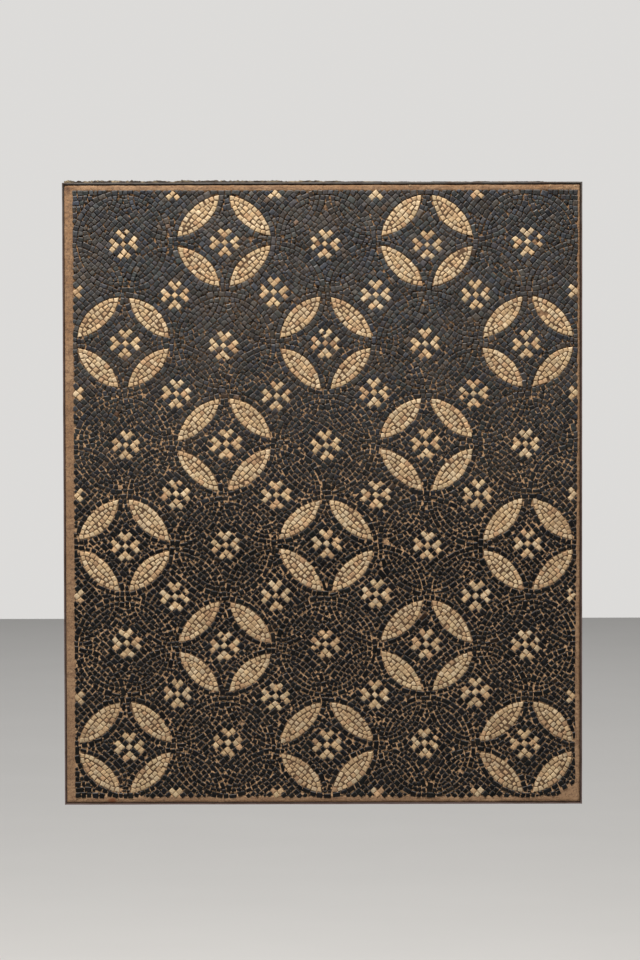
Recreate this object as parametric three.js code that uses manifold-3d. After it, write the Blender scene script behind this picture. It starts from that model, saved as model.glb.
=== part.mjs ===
import * as THREE from "three";
import { mergeVertices } from "three/addons/utils/BufferGeometryUtils.js";
import Module from "manifold-3d";

// A stone mosaic of interlaced circles on a mortar slab, edged with flat iron bars, to be fixed to a wall.
// Millimetres. The origin is the centre of the back, the mosaic faces -Y, +X is to its right and +Z is up.

// The lattice of circles
const columns = 5;
const rows = 6;
const columnPitch = 196.4;
const rowPitch = 197.4;
const stonePitch = 10.5; // a stone with its joint
const neckHalfWidth = 10.5; // from a leaf's tip to the line between two circles' centres
const arcSteps = 4; // facets along each side of a leaf

// Mortar margins between the stones and the slab's edges
const marginLeft = 15.5;
const marginRight = 4;
const marginTop = 10.5;
const marginBottom = 9;

// The slab and the stones set in it
const bedDepth = 44;
const stoneDepth = 9.9; // from the setting bed to the stones' faces
const stoneStand = 1.5; // how far the stones stand out of the margins
const webDepth = 2.5; // the setting bed, which ties the ivory stones together behind the dark ones

// Stones lost at the bottom right corner: a high step at the side, and a wider one at the foot
const lostSideWidth = 24;
const lostSideHeight = 26;
const lostFootWidth = 37;
const lostFootHeight = 16;

// The iron edging
const barThickness = 3;
const barDepth = 45;
const shrinkGap = 1; // the open joint between the bars and the mortar's face
const shrinkDepth = 7;

// The hand-laid crosslets sit a little closer together than the circles: each is drawn towards the middle
// by so much for every half pitch away from it, and strays and turns besides.
const columnDrift = 0.9;
const rowDrift = 1.05;
const strayReach = 2.5;
const strayTurn = 0.05;

const fitGap = 0.3;
const edgeRim = 1.2; // dark stone between an edge mark's point and the edge of the stones
const sink = 1; // how far joined solids run into each other

const fieldWidth = columns * columnPitch;
const fieldHeight = rows * rowPitch;
const bedWidth = marginLeft + fieldWidth + marginRight + 2 * (shrinkGap - fitGap);
const bedHeight = marginTop + fieldHeight + marginBottom + 2 * (shrinkGap - fitGap);
const panelWidth = bedWidth + 2 * (fitGap + barThickness);
const panelHeight = bedHeight + 2 * (fitGap + barThickness);
const fieldLeft = -bedWidth / 2 + shrinkGap - fitGap + marginLeft;
const fieldBottom = -bedHeight / 2 + shrinkGap - fitGap + marginBottom;
const stoneFace = bedDepth + stoneStand;
const bedFloor = stoneFace - stoneDepth;

// Each leaf is where two circles of this radius overlap, one round a lattice point and one round a point
// midway between four of them.
const halfPitch = (columnPitch + rowPitch) / 4;
const circleRadius = Math.hypot(neckHalfWidth, halfPitch - neckHalfWidth);

const wasm = await Module();
wasm.setup();

// A closed geometry as a solid that can be joined and cut.
function solidOf(geometry) {
  geometry.deleteAttribute("normal");
  geometry.deleteAttribute("uv");
  const merged = mergeVertices(geometry, 1e-3);
  const mesh = new wasm.Mesh({
    numProp: 3,
    vertProperties: merged.attributes.position.array,
    triVerts: new Uint32Array(merged.index.array),
  });
  return new wasm.Manifold(mesh);
}

function geometryOf(solid) {
  const mesh = solid.getMesh();
  const geometry = new THREE.BufferGeometry();
  geometry.setAttribute("position", new THREE.BufferAttribute(mesh.vertProperties, 3));
  geometry.setIndex(new THREE.BufferAttribute(mesh.triVerts, 1));
  geometry.computeVertexNormals();
  return geometry;
}

// A shape seen from the front, with x to the right and y up, as a slab from one depth to another.
// Depths are counted from the back, towards the viewer.
function slab(shape, fromDepth, toDepth) {
  const geometry = new THREE.ExtrudeGeometry(shape, {
    depth: toDepth - fromDepth,
    bevelEnabled: false,
  });
  return geometry.translate(0, 0, fromDepth).rotateX(Math.PI / 2);
}

function rectangle(left, bottom, right, top) {
  return new THREE.Shape([
    new THREE.Vector2(left, bottom),
    new THREE.Vector2(right, bottom),
    new THREE.Vector2(right, top),
    new THREE.Vector2(left, top),
  ]);
}

// The field of stones, narrowed by a gap all round, without the corner that is lost.
function fieldOutline(gap) {
  const left = fieldLeft + gap;
  const right = fieldLeft + fieldWidth - gap;
  const bottom = fieldBottom + gap;
  const top = fieldBottom + fieldHeight - gap;
  return [
    new THREE.Vector2(left, bottom),
    new THREE.Vector2(right - lostFootWidth, bottom),
    new THREE.Vector2(right - lostFootWidth, bottom + lostFootHeight),
    new THREE.Vector2(right - lostSideWidth, bottom + lostFootHeight),
    new THREE.Vector2(right - lostSideWidth, bottom + lostSideHeight),
    new THREE.Vector2(right, bottom + lostSideHeight),
    new THREE.Vector2(right, top),
    new THREE.Vector2(left, top),
  ];
}

// A lattice point, counted in half pitches from the field's bottom left corner.
function latticePoint(halfColumn, halfRow) {
  return new THREE.Vector2(
    fieldLeft + (halfColumn * columnPitch) / 2,
    fieldBottom + (halfRow * rowPitch) / 2,
  );
}

// The lens where the circles round two points overlap, with its sides drawn back by a gap.
function leafOutline(first, second, gap) {
  const radius = circleRadius - gap;
  const between = second.clone().sub(first);
  const halfDistance = between.length() / 2;
  const halfAngle = Math.acos(halfDistance / radius);
  const points = [];
  for (const [centre, heading] of [
    [first, between.angle()],
    [second, between.angle() + Math.PI],
  ]) {
    for (let step = 0; step < arcSteps; step += 1) {
      const angle = heading - halfAngle + (2 * halfAngle * step) / arcSteps;
      points.push(
        new THREE.Vector2(Math.cos(angle), Math.sin(angle)).multiplyScalar(radius).add(centre),
      );
    }
  }
  return points;
}

// A hand-laid crosslet's small shift and turn. The sines stand for chance.
function stray(halfColumn, halfRow) {
  const chanceX = Math.sin(12.9 * halfColumn + 7.3 * halfRow);
  const chanceZ = Math.sin(5.1 * halfColumn + 17.7 * halfRow);
  return {
    x: strayReach * chanceX - columnDrift * (halfColumn - columns),
    z: strayReach * chanceZ - rowDrift * (halfRow - rows),
    turn: strayTurn * Math.sin(8.7 * halfColumn + 3.9 * halfRow),
  };
}

// Corners on the stone grid, turned by an angle and drawn in by a gap towards a point inside.
function gridOutline(corners, centre, turn, shrink) {
  return corners.map(([across, along]) =>
    new THREE.Vector2(
      (across - Math.sign(across) * shrink) * stonePitch,
      (along - Math.sign(along) * shrink) * stonePitch,
    )
      .rotateAround(new THREE.Vector2(), turn)
      .add(centre),
  );
}

// Five stones by five without their corner stones: the ground that a crosslet covers.
function crossletOutline(halfColumn, halfRow, gap) {
  const corners = [
    [2.5, 1.5],
    [1.5, 1.5],
    [1.5, 2.5],
    [-1.5, 2.5],
    [-1.5, 1.5],
    [-2.5, 1.5],
    [-2.5, -1.5],
    [-1.5, -1.5],
    [-1.5, -2.5],
    [1.5, -2.5],
    [1.5, -1.5],
    [2.5, -1.5],
  ];
  const shift = stray(halfColumn, halfRow);
  const centre = latticePoint(halfColumn, halfRow).add(new THREE.Vector2(shift.x, shift.z));
  return gridOutline(corners, centre, Math.PI / 4 + shift.turn, gap / stonePitch);
}

// Three stones in an angle, whose point is at the edge of the field.
function edgeMarkOutline(halfColumn, halfRow, inward, gap) {
  const corners = [
    [0, 0],
    [2, 0],
    [2, 1],
    [1, 1],
    [1, 2],
    [0, 2],
  ];
  const offset = gap / stonePitch;
  const drawnIn = corners.map(([across, along]) => [
    across + (across === 0 ? offset : -offset),
    along + (along === 0 ? offset : -offset),
  ]);
  const heading = new THREE.Vector2(Math.cos(inward), Math.sin(inward));
  const point = latticePoint(halfColumn, halfRow).addScaledVector(heading, edgeRim);
  return gridOutline(drawnIn, point, inward - Math.PI / 4, 0);
}

// Every ivory shape as an outline, drawn in by a gap.
function ivoryOutlines(gap) {
  const outlines = [];
  for (let halfRow = 0; halfRow <= 2 * rows; halfRow += 1) {
    for (let halfColumn = halfRow % 2; halfColumn <= 2 * columns; halfColumn += 2) {
      const onEdge =
        halfRow === 0 || halfRow === 2 * rows || halfColumn === 0 || halfColumn === 2 * columns;
      if (!onEdge) {
        outlines.push(crossletOutline(halfColumn, halfRow, gap));
      }
    }
  }
  for (let row = 0; row < rows; row += 1) {
    for (let column = 0; column < columns; column += 1) {
      if ((row + column) % 2 === rows % 2) {
        const centre = latticePoint(2 * column + 1, 2 * row + 1);
        for (const [across, along] of [
          [2, 2],
          [0, 2],
          [0, 0],
          [2, 0],
        ]) {
          const corner = latticePoint(2 * column + across, 2 * row + along);
          outlines.push(leafOutline(centre, corner, gap));
        }
      }
    }
  }
  for (let column = 1; column < columns; column += 1) {
    outlines.push(edgeMarkOutline(2 * column, 0, Math.PI / 2, gap));
    outlines.push(edgeMarkOutline(2 * column, 2 * rows, -Math.PI / 2, gap));
  }
  for (let row = 1; row < rows; row += 1) {
    outlines.push(edgeMarkOutline(0, 2 * row, 0, gap));
    outlines.push(edgeMarkOutline(2 * columns, 2 * row, Math.PI, gap));
  }
  return outlines;
}

// The mortar slab: full width behind, drawn back from the bars in front, with a bed for the stones.
function mortarBed() {
  const halfWidth = bedWidth / 2;
  const halfHeight = bedHeight / 2;
  const back = rectangle(-halfWidth, -halfHeight, halfWidth, halfHeight);
  const inset = shrinkGap - fitGap;
  const front = rectangle(
    -halfWidth + inset,
    -halfHeight + inset,
    halfWidth - inset,
    halfHeight - inset,
  );
  const body = solidOf(slab(back, 0, bedDepth - shrinkDepth));
  const face = solidOf(slab(front, bedDepth - shrinkDepth - sink, bedDepth));
  const pocket = solidOf(slab(new THREE.Shape(fieldOutline(0)), bedFloor, bedDepth + sink));
  return geometryOf(body.add(face).subtract(pocket));
}

// The dark ground: one plate with an opening for each ivory shape.
function darkGround() {
  const shape = new THREE.Shape(fieldOutline(fitGap));
  shape.holes = ivoryOutlines(0).map((outline) => new THREE.Path(outline));
  return slab(shape, bedFloor + webDepth + 2 * fitGap, stoneFace);
}

// The ivory stones, tied together by the setting bed behind the dark ground.
function ivoryStones() {
  const web = slab(new THREE.Shape(fieldOutline(fitGap)), bedFloor + fitGap, bedFloor + fitGap + webDepth);
  let stones = solidOf(web);
  for (const outline of ivoryOutlines(fitGap)) {
    const shape = new THREE.Shape(outline);
    stones = stones.add(solidOf(slab(shape, bedFloor + fitGap + webDepth - sink, stoneFace)));
  }
  return geometryOf(stones);
}

// An upright bar runs the full height, and a level one fits between the two uprights.
function uprightBar() {
  return new THREE.BoxGeometry(barThickness, barDepth, panelHeight);
}

function levelBar() {
  return new THREE.BoxGeometry(bedWidth, barDepth, barThickness);
}

function material(color, roughness, metalness) {
  return new THREE.MeshStandardMaterial({ color, roughness, metalness });
}

const panel = new THREE.Group();

function place(name, geometry, finish, x = 0, y = 0, z = 0) {
  const mesh = new THREE.Mesh(geometry, finish);
  mesh.name = name;
  mesh.position.set(x, y, z);
  panel.add(mesh);
}

place("mortar_bed", mortarBed(), material(0xb08762, 0.95, 0));
place("dark_tesserae", darkGround(), material(0x3b3c3e, 0.7, 0));
place("ivory_tesserae", ivoryStones(), material(0xdcc392, 0.65, 0));

const barX = (panelWidth - barThickness) / 2;
const barZ = (panelHeight - barThickness) / 2;
place("frame_bar_left", uprightBar(), material(0x4b4442, 0.6, 0.8), -barX, -barDepth / 2, 0);
place("frame_bar_right", uprightBar(), material(0x4f4440, 0.6, 0.8), barX, -barDepth / 2, 0);
place("frame_bar_top", levelBar(), material(0x565656, 0.6, 0.8), 0, -barDepth / 2, barZ);
place("frame_bar_bottom", levelBar(), material(0x53413c, 0.6, 0.8), 0, -barDepth / 2, -barZ);

export default panel;
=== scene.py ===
import math
import random
import bmesh
import bpy
from types import SimpleNamespace
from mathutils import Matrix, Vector, kdtree, noise


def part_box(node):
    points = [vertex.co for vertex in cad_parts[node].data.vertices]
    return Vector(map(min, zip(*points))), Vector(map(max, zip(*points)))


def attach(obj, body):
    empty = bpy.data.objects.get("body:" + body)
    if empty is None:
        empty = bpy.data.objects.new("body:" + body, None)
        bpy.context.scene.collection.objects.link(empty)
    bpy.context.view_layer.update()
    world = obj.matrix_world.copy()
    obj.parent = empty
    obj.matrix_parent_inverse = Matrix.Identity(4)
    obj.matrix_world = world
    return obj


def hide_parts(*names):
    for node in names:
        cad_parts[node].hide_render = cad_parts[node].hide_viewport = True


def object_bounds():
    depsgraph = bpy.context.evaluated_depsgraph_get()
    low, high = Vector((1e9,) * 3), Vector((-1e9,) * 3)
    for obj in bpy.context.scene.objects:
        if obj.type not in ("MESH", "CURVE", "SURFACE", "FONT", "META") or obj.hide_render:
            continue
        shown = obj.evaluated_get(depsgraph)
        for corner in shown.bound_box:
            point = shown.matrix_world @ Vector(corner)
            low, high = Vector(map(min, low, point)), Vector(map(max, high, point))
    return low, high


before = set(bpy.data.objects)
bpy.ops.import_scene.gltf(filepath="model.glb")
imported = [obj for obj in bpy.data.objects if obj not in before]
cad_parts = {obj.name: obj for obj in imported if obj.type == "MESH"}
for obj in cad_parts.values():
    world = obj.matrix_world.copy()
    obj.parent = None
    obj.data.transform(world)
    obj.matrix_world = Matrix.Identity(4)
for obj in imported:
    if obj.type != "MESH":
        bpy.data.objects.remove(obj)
cadLow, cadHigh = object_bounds()
mm = 0.001
print("frame loaded")

# The lattice of circles, in millimetres seen from the front: x to the right, z up
lattice = {
    "columns": 5,
    "rows": 6,
    "fitGap": 0.3,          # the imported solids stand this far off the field's edge
    "stonePitch": 10.5,     # a stone with its joint
    "neckHalfWidth": 9.8,   # from a leaf's tip to the line between two circles
    "columnDrift": 0.9,     # crosslets sit closer to the middle, by so much for each half pitch
    "rowDrift": 1.05,
    "strayReach": 2.5,      # and stray by chance besides
    "strayTurn": 0.05,
    "edgeRim": -1.8,        # where an edge mark's corner lies, inwards from the field's edge
    "lowerFoot": 1.6,       # how far the lowest stones reach over the bottom margin
    "lostEdge": 5.0,        # how much the right margin widens towards the foot
    "edgeRun": (150.0, -350.0),  # the heights between which it does
    "lostSteps": ((24.0, 26.0), (37.0, 16.0)),  # width and height of the steps in the lost corner
}

fieldLow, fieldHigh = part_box("dark_tesserae")
fieldLeft = fieldLow.x / mm - lattice["fitGap"]
fieldRight = fieldHigh.x / mm + lattice["fitGap"]
fieldBottom = fieldLow.z / mm - lattice["fitGap"]
fieldTop = fieldHigh.z / mm + lattice["fitGap"]
stoneFace = fieldLow.y / mm                      # where the stones' tops lie, towards the viewer
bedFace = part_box("mortar_bed")[0].y / mm         # the margins' face
columnPitch = (fieldRight - fieldLeft) / lattice["columns"]
rowPitch = (fieldTop - fieldBottom) / lattice["rows"]
pitch = lattice["stonePitch"]
neck = lattice["neckHalfWidth"]
circleRadius = math.hypot(neck, (columnPitch + rowPitch) / 4 - neck)
lastColumn = 2 * lattice["columns"]
lastRow = 2 * lattice["rows"]


def latticePoint(halfColumn, halfRow):
    return (fieldLeft + halfColumn * columnPitch / 2, fieldBottom + halfRow * rowPitch / 2)


def limited(value):
    return min(1.0, max(0.0, value))


# How far a value has gone from the first limit, 0, to the second, 1
def shareOfWay(value, limits):
    return limited((limits[0] - value) / (limits[0] - limits[1]))


def isIvory(halfColumn, halfRow):
    return ((halfColumn - 1) // 2 + (halfRow - 1) // 2) % 2 == lattice["rows"] % 2


def stray(halfColumn, halfRow):
    reach = lattice["strayReach"]
    chanceX = math.sin(12.9 * halfColumn + 7.3 * halfRow)
    chanceZ = math.sin(5.1 * halfColumn + 17.7 * halfRow)
    return (
        reach * chanceX - lattice["columnDrift"] * (halfColumn - lattice["columns"]),
        reach * chanceZ - lattice["rowDrift"] * (halfRow - lattice["rows"]),
        lattice["strayTurn"] * math.sin(8.7 * halfColumn + 3.9 * halfRow),
    )


# The stones' right edge, which runs in a little towards the foot
def rightEdge(z):
    return fieldRight - lattice["lostEdge"] * shareOfWay(z, lattice["edgeRun"])


def edgeDistance(x, z):
    return min(x - fieldLeft, fieldRight - x, z - fieldBottom, fieldTop - z)


# The point that lies u along and v across from another, in rows turned by an angle
def beside(x, z, angle, u, v):
    cos, sin = math.cos(angle), math.sin(angle)
    return (x + u * cos - v * sin, z + u * sin + v * cos)


def onCircle(centre, radius, turn):
    return (centre[0] + radius * math.cos(turn), centre[1] + radius * math.sin(turn))


# The stones: where each one sits, how it is turned and how big it was cut
laying = {
    "seed": 41,
    "joint": 0.65,          # between ivory stones
    "darkJoint": 0.9,
    "lowerJoint": 1.2,      # between dark stones further down
    "widening": (380.0, 120.0),  # the heights between which the joints widen
    "bluntTip": 1.8,        # how much fuller a leaf is at its tips than two arcs make it
    "leafRow": 9.7,         # width of the two outer rows in a leaf
    "narrowestRow": 4.8,    # a middle row ends where it would be narrower
    "wander": 0.45,         # how far a stone sits off its row
    "turn": 0.08,
    "sizeSpread": 0.08,
    "fullness": 1.16,       # dark stones are this much wider than their rows, before they're cut to fit
    "overlap": 4.3,         # two stones that would overlap by more aren't both laid
    "fillOverlap": 3.2,
    "fillEdge": 3.2,        # how close to the field's edge a filling stone may lie
    "fillSizes": (1.0, 0.85, 0.7, 0.5, 0.36),
    "smallestArea": 15.0,
    "shortestSide": 1.0,
    "middlePart": 200.0,    # the dark stones are three pieces, parted this far above and below the middle
    "gridReach": 5.6,       # how many stones a slanting row reaches from its crosslet's middle
    "sway": 2.4,            # how far the drawing as a whole wanders
    "swayLength": 120.0,
}
dice = random.Random(laying["seed"])
stones = []
nearBy = {}
cellSize = 12.0
nearest = 24.0  # stones further apart than this don't touch


def cellOf(x, z):
    return (int(x // cellSize), int(z // cellSize))


def around(x, z):
    column, row = cellOf(x, z)
    for i in range(column - 2, column + 3):
        for j in range(row - 2, row + 3):
            yield from nearBy.get((i, j), ())


def axesOf(stone):
    cos, sin = math.cos(stone.angle), math.sin(stone.angle)
    return ((cos, sin), (-sin, cos))


def extent(stone, axes, normal):
    first = abs(axes[0][0] * normal[0] + axes[0][1] * normal[1])
    second = abs(axes[1][0] * normal[0] + axes[1][1] * normal[1])
    return stone.along * first + stone.across * second


# The side on which two stones are furthest apart: the gap, its direction and both reaches
def separation(stone, other):
    dx, dz = other.x - stone.x, other.z - stone.z
    axes, otherAxes = axesOf(stone), axesOf(other)
    best = None
    for nx, nz in axes + otherAxes:
        along = dx * nx + dz * nz
        if along < 0:
            nx, nz, along = -nx, -nz, -along
        mine = extent(stone, axes, (nx, nz))
        theirs = extent(other, otherAxes, (nx, nz))
        gap = along - mine - theirs
        if best is None or gap > best[0]:
            best = (gap, nx, nz, mine, theirs)
    return best


def hasRoom(stone, overlap):
    return all(
        max(abs(other.x - stone.x), abs(other.z - stone.z)) > nearest
        or separation(stone, other)[0] >= -overlap
        for other in around(stone.x, stone.z)
    )


def inField(x, z):
    inset = 2.0
    if any(
        x > fieldRight - width - inset and z < fieldBottom + height + inset
        for width, height in lattice["lostSteps"]
    ):
        return False
    across = fieldLeft + inset <= x <= rightEdge(z) - inset
    return across and fieldBottom + inset <= z <= fieldTop - inset


# Cuts a stone a little out of size, place and turn, and keeps it if there is room.
# A stone's zone is the number of its leaf.
def lay(x, z, angle, along, across, kind, zone=None, overlap=laying["overlap"], wander=None):
    if not inField(x, z):
        return
    reach = laying["wander"] if wander is None else wander
    spread = laying["sizeSpread"]
    stone = SimpleNamespace(
        x=x + dice.gauss(0, reach),
        z=z + dice.gauss(0, reach),
        angle=angle + dice.gauss(0, laying["turn"] if wander is None else laying["turn"] * 0.6),
        along=along * (1.0 if kind == "ivory" else 1.07) * (1 + dice.gauss(0, spread)) / 2,
        across=across * (1 + dice.gauss(0, spread * 0.6)) / 2,
        kind=kind,
        zone=zone,
    )
    if hasRoom(stone, overlap):
        stones.append(stone)
        nearBy.setdefault(cellOf(stone.x, stone.z), []).append(stone)


# Dark stones are cut in uneven lengths, longer ones mostly in the lower half.
def darkLength(z):
    lengths = (0.85, 1.0, 1.0, 1.2, 1.5) if z > 0 else (0.9, 1.0, 1.2, 1.45, 1.75)
    return pitch * dice.choice(lengths) * dice.uniform(0.94, 1.06)


# The points that circles are drawn round, and the leaves where two circles overlap
centres = [(c, r) for r in range(1, lastRow, 2) for c in range(1, lastColumn, 2)]
corners = [(c, r) for r in range(0, lastRow + 1, 2) for c in range(0, lastColumn + 1, 2)]


class Leaf:
    def __init__(self, number, centre, corner):
        self.number = number
        self.first = latticePoint(*centre)
        self.second = latticePoint(*corner)
        self.ivory = isIvory(*centre)
        across = (self.second[0] - self.first[0], self.second[1] - self.first[1])
        self.half = math.hypot(*across) / 2
        self.heading = math.atan2(across[1], across[0])
        self.middle = (self.first[0] + across[0] / 2, self.first[1] + across[1] / 2)
        self.halfAngle = math.acos(self.half / circleRadius)

    def arcs(self):
        return ((self.first, self.heading), (self.second, self.heading + math.pi))


leafEnds = [(c, (c[0] + i, c[1] + j)) for c in centres for i in (-1, 1) for j in (-1, 1)]
leaves = [Leaf(number, centre, corner) for number, (centre, corner) in enumerate(leafEnds)]


# Two rows follow the leaf's sides, and two shorter ones fill the middle.
def layLeaf(leaf):
    number = leaf.number
    kind = "ivory" if leaf.ivory else "dark"
    row = laying["leafRow"]
    radius = circleRadius - row / 2
    count = round(2 * leaf.halfAngle * radius / (pitch * 0.99))
    step = 2 * leaf.halfAngle / count
    owners = (dice.random() < 0.5, dice.random() < 0.5)
    for side, (centre, heading) in enumerate(leaf.arcs()):
        for k in range(count):
            atEnd = k == 0 or k == count - 1
            owner = owners[0] if (k == 0) == (side == 0) else owners[1]
            if atEnd and (owner != (side == 0)):
                continue
            turn = heading - leaf.halfAngle + (k + 0.5) * step
            x, z = onCircle(centre, radius - (0.4 if atEnd else 0.0), turn)
            lay(x, z, turn + math.pi / 2, step * radius, row, kind, number, overlap=99, wander=0.25)
    inner = circleRadius - row
    reach = math.sqrt(inner * inner - leaf.half * leaf.half)
    split = math.sqrt(inner * inner - (leaf.half + laying["narrowestRow"]) ** 2)
    turn = leaf.heading + math.pi / 2
    for side in (-1, 1):
        count = round(2 * split / (pitch * dice.uniform(0.86, 0.98)))
        joins = [-split + 2 * split * (k + dice.uniform(-0.16, 0.16)) / count for k in range(1, count)]
        joins = [-split + dice.uniform(-3, 2)] + joins + [split + dice.uniform(-2, 3)]
        for low, high in zip(joins, joins[1:]):
            u = (low + high) / 2
            room = math.sqrt(inner * inner - u * u) - leaf.half
            x, z = beside(*leaf.middle, leaf.heading, side * room / 2, u)
            lay(x, z, turn, (high - low) * 1.05, room * 1.06, kind, number, overlap=99, wander=0.2)
    for end in (-1, 1):
        u = end * (split + reach) / 2
        x, z = beside(*leaf.middle, leaf.heading, 0, u)
        width = 2 * (math.sqrt(inner * inner - split * split) - leaf.half)
        lay(x, z, turn, reach - split - 1, width, kind, number, overlap=99, wander=0.1)


# A row of dark stones all round a circle, just outside it.
def layRing(centre, start):
    radius = circleRadius + pitch / 2
    turn = start
    while turn < start + 2 * math.pi - 0.4 * pitch / radius:
        length = min(darkLength(centre[1]), (start + 2 * math.pi - turn) * radius)
        middle = turn + length / radius / 2
        turn += length / radius
        x, z = onCircle(centre, radius, middle)
        if not nearLeaf(x, z, 0.3):
            lay(x, z, middle + math.pi / 2, length, pitch * laying["fullness"], "dark")


def insideLeaf(leaf, x, z, inset=0.0):
    limit = circleRadius - inset
    return math.dist((x, z), leaf.first) < limit and math.dist((x, z), leaf.second) < limit


def cellInLattice(x, z):
    return (int((x - fieldLeft) / (columnPitch / 2)), int((z - fieldBottom) / (rowPitch / 2)))


leafAt = {cellInLattice(*leaf.middle): leaf for leaf in leaves}


def leavesNear(x, z):
    column, row = cellInLattice(x, z)
    for i in (column - 1, column, column + 1):
        for j in (row - 1, row, row + 1):
            if (i, j) in leafAt:
                yield leafAt[(i, j)]


# The leaf that a point lies in, or nearer to than a share of a stone
def nearLeaf(x, z, share):
    return next((leaf for leaf in leavesNear(x, z) if insideLeaf(leaf, x, z, -pitch * share)), None)


ivoryCells = {(0, 0)}
for i in (-1, 1):
    for j in (-1, 1):
        ivoryCells |= {(i, j), (2 * i, j), (i, 2 * j)}

lostCells = {(9, 11, 1, -1), (5, 11, -1, 1)}  # halfColumn, halfRow, and the cell of the crosslet
lostPatches = []


# Thirteen ivory stones and eight dark ones on a grid turned by 45 degrees
def layCrosslet(halfColumn, halfRow):
    x, z = latticePoint(halfColumn, halfRow)
    dx, dz, turn = stray(halfColumn, halfRow)
    angle = math.pi / 4 + turn
    for i in range(-2, 3):
        for j in range(-2, 3):
            if abs(i) == 2 and abs(j) == 2:
                continue
            px, pz = beside(x + dx, z + dz, angle, i * pitch, j * pitch)
            if (halfColumn, halfRow, i, j) in lostCells:
                lostPatches.append((px, pz, pitch * 0.8))
                continue
            kind = "ivory" if (i, j) in ivoryCells else "dark"
            size = pitch * (1.0 if kind == "ivory" else 1.04)
            lay(px, pz, angle, size, size, kind, overlap=99, wander=0.3)


# Slanting rows of dark stones on both sides of a crosslet, on the slant of its own grid
def layGround(halfColumn, halfRow):
    x, z = latticePoint(halfColumn, halfRow)
    dx, dz, turn = stray(halfColumn, halfRow)
    angle = dice.choice((-1, 1)) * math.pi / 4 + turn
    reach = laying["gridReach"]
    crossletHalf = {0: 2.5, 1: 2.5, 2: 1.5}  # in stones, row by row
    for j in range(-int(reach), int(reach) + 1):
        for heading in (-1, 1):
            start = crossletHalf.get(abs(j), 0.0) * pitch
            while start < (reach - 0.3 * abs(j)) * pitch:
                length = darkLength(z + dz)
                px, pz = beside(x + dx, z + dz, angle, heading * (start + length / 2), j * pitch)
                start += length
                if not nearLeaf(px, pz, 0.3):
                    lay(px, pz, angle, length, pitch * laying["fullness"], "dark")


# Three ivory stones in an angle, where a crosslet would straddle the field's edge.
def layEdgeMark(halfColumn, halfRow, inward):
    x, z = latticePoint(halfColumn, halfRow)
    x = min(x, rightEdge(z))
    angle = inward - math.pi / 4 + dice.gauss(0, 0.05)
    x, z = onCircle((x, z), lattice["edgeRim"], inward)
    for i in range(-3, 6):
        for j in range(-3, 6):
            px, pz = beside(x, z, angle, (i + 0.5) * pitch, (j + 0.5) * pitch)
            if (i, j) in ((0, 0), (1, 0), (0, 1)):
                lay(px, pz, angle, pitch, pitch, "ivory", overlap=99, wander=0.25)
            elif not nearLeaf(px, pz, 0.35):
                lay(px, pz, angle, pitch * 1.04, pitch * 1.04, "dark")


# Level rows fill the field's four corners.
def layCorner(left, bottom, across, up):
    for j in range(6):
        u = 0.0
        while u < 6 * pitch:
            length = darkLength(bottom)
            px = left + across * (u + length / 2)
            pz = bottom + up * (j + 0.5) * pitch
            u += length
            lay(px, pz, 0, length, pitch * laying["fullness"], "dark")


for leaf in leaves:
    layLeaf(leaf)
crosslets = [(c, r) for c, r in centres + corners if 0 < c < lastColumn and 0 < r < lastRow]
for c, r in crosslets:
    layCrosslet(c, r)
sides = ((0, math.pi / 2), (lastRow, -math.pi / 2))
edges = [(c, r, inward) for r, inward in sides for c in range(2, lastColumn, 2)]
sides = ((0, 0.0), (lastColumn, math.pi))
edges += [(c, r, inward) for c, inward in sides for r in range(2, lastRow, 2)]
for c, r in centres + corners:
    layRing(latticePoint(c, r), dice.uniform(0, 6))
for mark in edges:
    layEdgeMark(*mark)
for c, r in crosslets:
    layGround(c, r)
for left, across in ((fieldLeft, 1), (fieldRight, -1)):
    for bottom, up in ((fieldBottom, 1), (fieldTop, -1)):
        layCorner(left, bottom, across, up)
print("rows laid:", len(stones))


# Whatever room is left takes stones of the size that fits.
def fillGaps():
    step = 2.0
    limit = 0.45 * pitch
    fill = laying["fillOverlap"]
    tree = kdtree.KDTree(len(stones))
    for number, stone in enumerate(stones):
        tree.insert((stone.x, stone.z, 0), number)
    tree.balance()
    spots = []
    for i in range(int((fieldRight - fieldLeft) / step)):
        for j in range(int((fieldTop - fieldBottom) / step)):
            x = fieldLeft + (i + 0.5) * step
            z = fieldBottom + (j + 0.5) * step
            _, number, distance = tree.find((x, z, 0))
            toEdge = edgeDistance(x, z)
            if distance > limit and toEdge > laying["fillEdge"]:
                spots.append((-min(distance, toEdge + pitch * 0.5), x, z, number))
    spots.sort()
    for size in laying["fillSizes"]:
        for _, x, z, number in spots:
            across = size * pitch
            leaf = nearLeaf(x, z, 0.3)
            if leaf is None:
                if size > 0.6:
                    lay(x, z, stones[number].angle, across, across, "dark", overlap=fill, wander=0.2)
            elif size < 0.9 and insideLeaf(leaf, x, z, 2.5):
                kind = "ivory" if leaf.ivory else "dark"
                lay(x, z, leaf.heading, across, across, kind, leaf.number, overlap=fill * 0.6, wander=0.1)


fillGaps()
print("gaps filled:", len(stones))

# Two stones lost near the tip of one leaf leave a bare patch.
lostLeaf = {"centre": (9, 9), "offset": (28.0, 53.5), "half": (11.0, 6.5), "patch": 16.0}
lostX, lostZ = latticePoint(*lostLeaf["centre"])
lostX += lostLeaf["offset"][0]
lostZ += lostLeaf["offset"][1]
lostPatches.append((lostX, lostZ, lostLeaf["patch"]))

# Single dark stones that are missing, and brown ones among the charcoal
bareSpots = ((-139.7, 492.8), (11.5, 555.0), (-160.3, -442.6), (120.0, -96.0))
barePatch = 7.0
brownSpots = ((206.6, 452.0), (-269.0, -550.0), (195.0, -243.0), (-402.0, 160.0))


def nearestDark(x, z):
    dark = [stone for stone in around(x, z) if stone.kind == "dark"]
    return min(dark, key=lambda stone: math.dist((stone.x, stone.z), (x, z)))


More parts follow.
